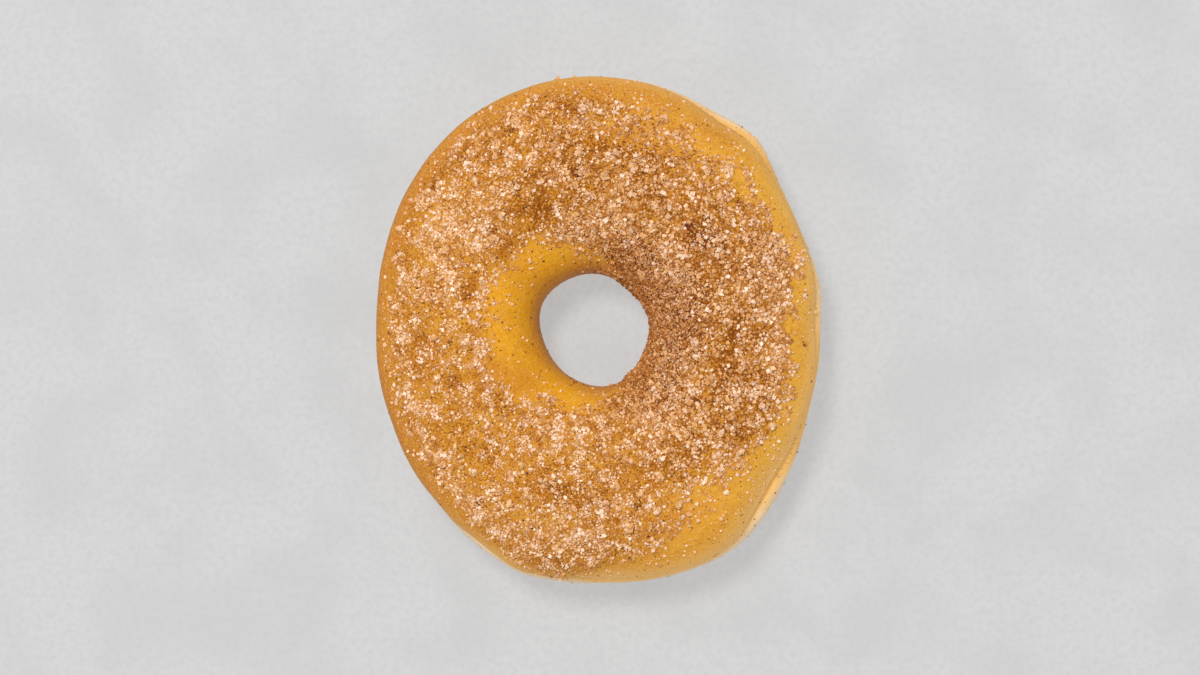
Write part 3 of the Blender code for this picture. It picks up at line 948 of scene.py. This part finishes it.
def flake_material():
    """Flakes of cinnamon bark."""
    material, tree, shader = new_material("cinnamon_flake")
    colour = blend(tree, field(tree, "tint"), DARK_BARK, LIGHT_BARK)
    colour = mottled(tree, colour, BARK_BLOTCH, 0.6, 0.3)
    feed(tree, shader, {"Base Color": colour, "Roughness": 0.8})
    return material


FLOOR_GREY = tone(216, 216, 216)
FLOOR_CLOUD = tone(209, 209, 209)
FLOOR_GRAIN = tone(205, 205, 206)
# The floor glows a little, so its shadows stay as faint as in the photograph.
FLOOR_LIT = (0.24, 0.24, 0.24, 1.0)
FLOOR_GLOW = 0.68


def floor_material():
    """A pale, faintly clouded surface."""
    material, tree, shader = new_material("pale_floor")
    colour = mottled(tree, FLOOR_GREY, FLOOR_CLOUD, 0.8, 22.0)
    colour = mottled(tree, colour, FLOOR_GRAIN, 0.5, 1.2)
    lit = blend(tree, 1.0, colour, FLOOR_LIT, "MULTIPLY")
    # From below it is clear, so the doughnut's underside can be looked at.
    turned = tree.nodes.new("ShaderNodeNewGeometry").outputs["Backfacing"]
    values = {
        "Base Color": lit,
        "Emission Color": colour,
        "Emission Strength": FLOOR_GLOW,
        "Roughness": 0.9,
        "Specular IOR Level": 0.0,
        "Alpha": sums(tree, "SUBTRACT", 1.0, turned),
    }
    feed(tree, shader, values)
    return material


# Sizes are in mm. Clumping is how strongly the crystals gather, paler how much paler they are,
# clinging how much cinnamon they take, near_hole and open_side how many more lie there than
# elsewhere, and strays how many lie where there is no cover.
COLUMNS = "name tries least most clumping paler clinging near_hole open_side strays"
Kind = namedtuple("Kind", COLUMNS)
CRYSTAL_KINDS = (
    Kind("coarse_sugar", 4200, 0.6, 0.92, 1.0, 0.1, 0.9, -0.8, 1.0, 0.008),
    Kind("medium_sugar", 24000, 0.4, 0.6, 0.95, 0.03, 0.9, 1.0, 0.0, 0.014),
    Kind("fine_sugar", 23500, 0.24, 0.4, 0.75, -0.03, 0.9, 0.8, -0.5, 0.02),
    Kind("sugar_dust", 9000, 0.12, 0.22, 0.6, 0.3, 0.3, 0.5, 0.0, 0.14),
)
CRYSTAL_SEED = 500
CRYSTAL_SHAPE_SEED = 600
# How much smaller the crystals are where the sugar is finest.
FINER = 0.12
# How far apart two crystals lie at least, in parts of the size of one.
CRYSTAL_ROOM = 0.78
CRYSTALS_PER_LUMP = 11
LUMP_HEAP_SEED = 77
LUMP_SHAPE_SEED = 88
FLAKE_COUNT = 4900
FLAKE_SEED = 900
FLAKE_SHAPE_SEED = 901


def with_room(spots, room):
    """Which spots to keep so that none lies closer to an earlier one than its room."""
    tree = kdtree.KDTree(len(spots))
    for number, spot in enumerate(spots.tolist()):
        tree.insert(spot, number)
    tree.balance()
    kept = np.ones(len(spots), bool)
    for number, spot in enumerate(spots.tolist()):
        if kept[number]:
            for _, other, _ in tree.find_range(spot, room[number]):
                if other > number:
                    kept[other] = False
    return kept


def crystal_weight(kind, skin):
    """How thickly crystals of this kind lie on each face."""
    heaped = ease(-0.12, 0.42, skin.clumps) * (0.55 + 0.65 * ease(-0.45, 0.3, skin.drifts))
    clumped = kind.clumping * (1.0 - 0.65 * skin.packed)
    gathered = (1.0 - clumped) * 0.5 + clumped * heaped
    weight = skin.cover * (0.04 + gathered) * (1.0 + skin.near_hole * kind.near_hole)
    weight = weight * (1.0 + skin.open_side * kind.open_side)
    inside = 1.0 - ease(0.88, 0.97, skin.share)
    off_wall = ease(0.03, 0.14, skin.share + 0.2 * skin.near_hole)
    strays = kind.strays * (0.3 + 1.4 * ease(0.0, 0.5, skin.clumps))
    weight = weight + strays * (0.1 + 0.9 * inside) * off_wall * (1.0 - 0.8 * skin.belt)
    return weight * skin.off_floor


def strew_crystals(skin, material):
    for number, kind in enumerate(CRYSTAL_KINDS):
        draw = np.random.default_rng(CRYSTAL_SEED + number)
        spots, chosen = skin.scatter(crystal_weight(kind, skin), kind.tries, draw)
        sizes = draw.uniform(kind.least, kind.most, kind.tries) * MM
        sizes = sizes * (1.0 - FINER * skin.finer[chosen])
        kept = with_room(spots, sizes * CRYSTAL_ROOM)
        spots, chosen, sizes = spots[kept], chosen[kept], sizes[kept]
        count = len(spots)
        settled = ease(0.0, 0.3, skin.cover[chosen])
        tint = unit(draw.beta(0.9, 1.0, count) + 0.4 * skin.clumps[chosen] + kind.paler)
        on_wall = 1.0 - ease(0.04, 0.2, skin.share[chosen])
        tint += 0.08 * np.clip(skin.dense[chosen], 0.0, 1.2) - 0.3 * on_wall
        tint = np.maximum(unit(tint), 0.75 * (1.0 - settled))
        coating = unit(skin.coat[chosen] + draw.normal(-0.15, 0.2, count))
        coating = coating * kind.clinging * (0.1 + 0.9 * settled)
        fields = {"tint": tint, "coating": coating}
        laid = (spots, skin.normals[chosen], sizes, CRYSTAL)
        crystals(kind.name, *laid, material, fields, CRYSTAL_SHAPE_SEED + number)


def cake_lumps(ring, skin, material):
    """Each lump is a tight heap of crystals where the solid has its lump."""
    places, widths = lump_places()
    places[:, :2] -= ring.middle
    draw = np.random.default_rng(LUMP_HEAP_SEED)
    away = draw.normal(size=(len(places), CRYSTALS_PER_LUMP, 3))
    away /= np.linalg.norm(away, axis=2, keepdims=True)
    reach = draw.uniform(0.15, 0.36, (len(places), CRYSTALS_PER_LUMP, 1))
    away *= reach * widths[:, None, None]
    away[..., 2] = np.abs(away[..., 2]) * 0.9
    spots = (places[:, None] + away).reshape(-1, 3)
    count = len(spots)
    sizes = np.repeat(widths, CRYSTALS_PER_LUMP) * draw.uniform(0.3, 0.5, count)
    upwards = np.tile((0.0, 0.0, 1.0), (count, 1))
    # A lump takes its cinnamon from the nearest of every seventh face.
    some = skin.middles[::7]
    nearest = [np.argmin(np.linalg.norm(some - place, axis=1)) * 7 for place in places]
    coating = np.repeat(skin.coat[nearest], CRYSTALS_PER_LUMP) * 0.7
    coating = unit(coating + draw.normal(-0.1, 0.12, count))
    fields = {"tint": unit(draw.beta(2.6, 1.5, count)), "coating": coating}
    laid = (spots, upwards, sizes, CAKED_CRYSTAL)
    crystals("caked_sugar_lumps", *laid, material, fields, LUMP_SHAPE_SEED)


def strew_flakes(skin, material):
    draw = np.random.default_rng(FLAKE_SEED)
    weight = 0.25 + 0.8 * skin.film * (0.4 + skin.coat) + 0.5 * skin.near_hole + 14.0 * skin.clots
    weight = weight * (1.0 - 0.5 * skin.belt) * skin.off_floor
    weight = weight * (1.0 - 0.6 * ease(0.86, 0.96, skin.share))
    spots, chosen = skin.scatter(weight, FLAKE_COUNT, draw)
    sizes = (0.12 + 0.34 * draw.random(FLAKE_COUNT) ** 2.5) * MM
    fields = {"tint": draw.random(FLAKE_COUNT)}
    laid = (spots, skin.normals[chosen], sizes, FLAKE)
    crystals("cinnamon_flakes", *laid, material, fields, FLAKE_SHAPE_SEED)


# The doughnut lies in the photograph's frame, at these pixels and at this scale.
IMAGE_WIDTH = 1200
MM_PER_PIXEL = 0.1889
OBJECT_PIXEL = (598.7, 329.5)
IMAGE_MIDDLE = (600.0, 337.5)
CAMERA_DISTANCE = 0.72
CAMERA_LEAN = math.radians(4.0)
CAMERA_LEAN_DIRECTION = math.radians(-25.0)
SENSOR_WIDTH = 36.0
FLOOR_REACH = 1.2
FLOOR_CORNERS = ((-1, -1), (1, -1), (1, 1), (-1, 1))
# The floor lies a hair under the doughnut, so that the two faces never coincide.
FLOOR_HEIGHT = -0.00005


def add_floor():
    mesh = bpy.data.meshes.new("pale_floor")
    corners = [(x * FLOOR_REACH, y * FLOOR_REACH, FLOOR_HEIGHT) for x, y in FLOOR_CORNERS]
    mesh.from_pydata(corners, [], [(0, 1, 2, 3)])
    mesh.materials.append(floor_material())
    floor = add_object("pale_floor", mesh)


def add_lamp(name, place, size, power, aim=(0.0, 0.0, 0.01)):
    lamp = bpy.data.lights.new(name, "AREA")
    lamp.shape = "DISK"
    lamp.size, lamp.energy = size, power
    made = add_object(name, lamp)
    made.location = place
    made.rotation_euler = (Vector(aim) - Vector(place)).to_track_quat("-Z", "Y").to_euler()


def add_light():
    world = bpy.data.worlds.new("studio")
    world.use_nodes = True
    background = world.node_tree.nodes["Background"]
    background.inputs["Color"].default_value = (1.0, 1.0, 1.0, 1.0)
    background.inputs["Strength"].default_value = 0.62
    bpy.context.scene.world = world
    add_lamp("soft_key", place=(-0.17, 0.29, 1.25), size=0.28, power=12.8)


def add_camera():
    """Looks almost straight down, with the photograph's frame round the doughnut."""
    camera = bpy.data.cameras.new("camera")
    camera.sensor_width = SENSOR_WIDTH
    camera.lens = SENSOR_WIDTH * CAMERA_DISTANCE / (IMAGE_WIDTH * MM_PER_PIXEL * MM)
    camera.clip_start, camera.clip_end = 0.01, 10.0
    across = (IMAGE_MIDDLE[0] - OBJECT_PIXEL[0]) * MM_PER_PIXEL * MM
    down = (IMAGE_MIDDLE[1] - OBJECT_PIXEL[1]) * MM_PER_PIXEL * MM
    aim = Vector((across, -down, BELT_MIDDLE))
    side = math.sin(CAMERA_LEAN) * CAMERA_DISTANCE
    east, north = math.cos(CAMERA_LEAN_DIRECTION), math.sin(CAMERA_LEAN_DIRECTION)
    away = Vector((east * side, north * side, math.cos(CAMERA_LEAN) * CAMERA_DISTANCE))
    made = add_object("camera", camera)
    made.location = aim + away
    back = away.normalized()
    right = Vector((0.0, 1.0, 0.0)).cross(back).normalized()
    up = back.cross(right)
    made.rotation_euler = Matrix((right, up, back)).transposed().to_euler()
    bpy.context.scene.camera = made


def main():
    bpy.context.scene.view_settings.view_transform = "Standard"
    ring = Ring()
    build_body(ring, crust_material())
    skin = Skin(ring)
    sugar = crystal_material()
    strew_crystals(skin, sugar)
    cake_lumps(ring, skin, sugar)
    strew_flakes(skin, flake_material())
    add_floor()
    add_light()
    add_camera()


main()
